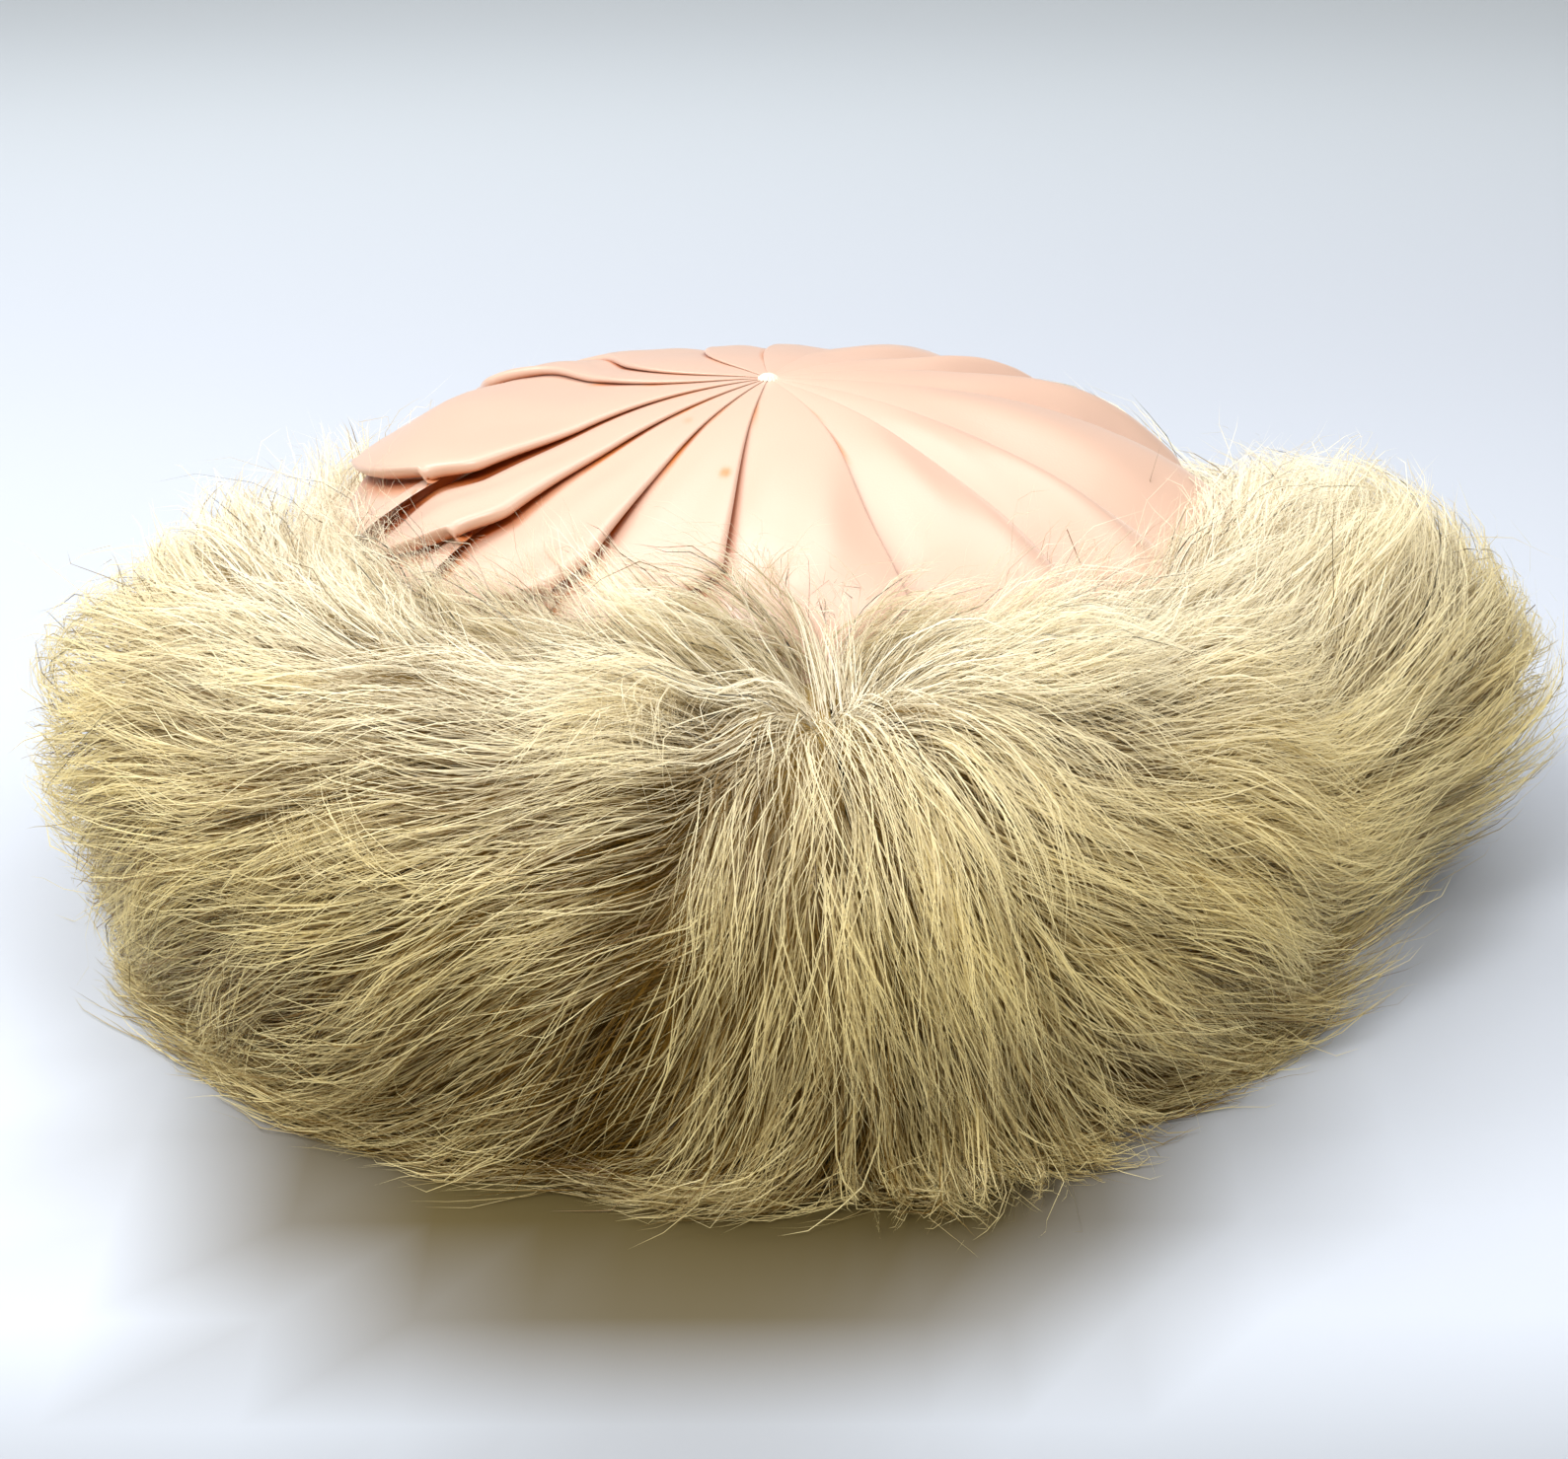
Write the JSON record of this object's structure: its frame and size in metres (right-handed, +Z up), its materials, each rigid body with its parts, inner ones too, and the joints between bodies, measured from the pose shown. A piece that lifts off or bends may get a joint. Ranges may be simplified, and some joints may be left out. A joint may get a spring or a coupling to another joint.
{
  "type": "fur-banded pleated satin hat",
  "caption": "Soft round hat: a low satin crown of lapped pleats meeting at a stitched centre, in a deep band of long cream fur, open underneath for the head.",
  "frame": {"origin": "middle of the fur's outline, on the surface the hat rests on", "axes": "+Z up through the crown, -Y towards the fur's parting, which is taken as the wearer's front"},
  "size_m": [0.3078, 0.3026, 0.1022],
  "materials": {
    "satin": "glossy satin weave",
    "thread": "twisted thread",
    "fur": "long soft fur"
  },
  "bodies": {
    "root": {"crown": "satin", "crown_tack": "thread", "fur_strip_front": "fur", "fur_strip_right": "fur", "fur_strip_left": "fur"}
  },
  "joints": []
}
